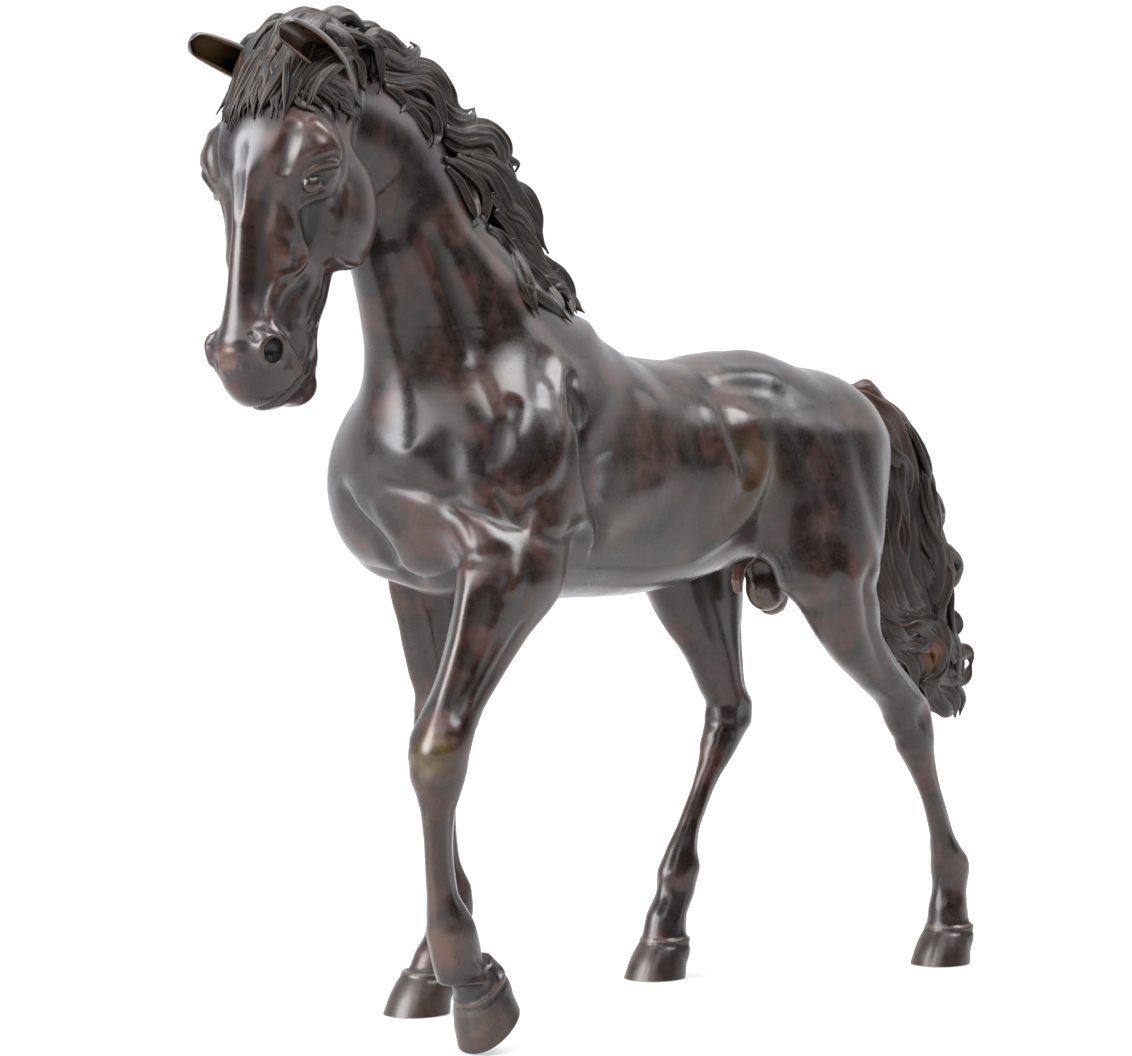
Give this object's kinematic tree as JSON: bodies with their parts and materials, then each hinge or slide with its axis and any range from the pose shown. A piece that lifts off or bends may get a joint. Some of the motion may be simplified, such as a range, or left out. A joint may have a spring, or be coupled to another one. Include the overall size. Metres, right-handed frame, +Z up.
{
  "type": "horse statue",
  "caption": "Standing bronze horse in a slow walk, head turned to its left, with a full wavy mane, a long tail and one lifted fore hoof.",
  "frame": {"origin": "bottom centre of the statue's bounding box, on the surface it stands on", "axes": "-Y towards the horse's head, +X to the horse's left, +Z up"},
  "size_m": [0.135, 0.5468, 0.449],
  "materials": {
    "bronze": "polished dark chocolate patina with red-brown mottling",
    "dark_bronze": "near-black chased hair with rubbed golden ridges",
    "hoof_bronze": "satin dark brown patina",
    "brass": "plain turned pin stock"
  },
  "bodies": {
    "root": {"forequarter_shell": "bronze", "hindquarter_shell": "bronze", "neck_shell": "bronze", "head_shell": "bronze", "left_ear": "bronze", "right_ear": "bronze", "forelock": "dark_bronze", "mane_crest": "dark_bronze", "mane_side_locks": "dark_bronze", "tail": "dark_bronze", "left_forearm": "bronze", "left_fore_cannon": "bronze", "left_fore_hoof": "hoof_bronze", "right_forearm": "bronze", "right_fore_cannon": "bronze", "right_fore_hoof": "hoof_bronze", "left_gaskin": "bronze", "left_hind_cannon": "bronze", "left_hind_hoof": "hoof_bronze", "right_gaskin": "bronze", "right_hind_cannon": "bronze", "right_hind_hoof": "hoof_bronze", "sheath": "bronze", "scrotum": "bronze", "neck_dowels": "brass", "head_dowel": "brass", "leg_dowels": "brass", "knee_dowels": "brass", "hoof_dowels": "brass", "tail_dowel": "brass", "core_plugs": "brass"}
  },
  "joints": []
}
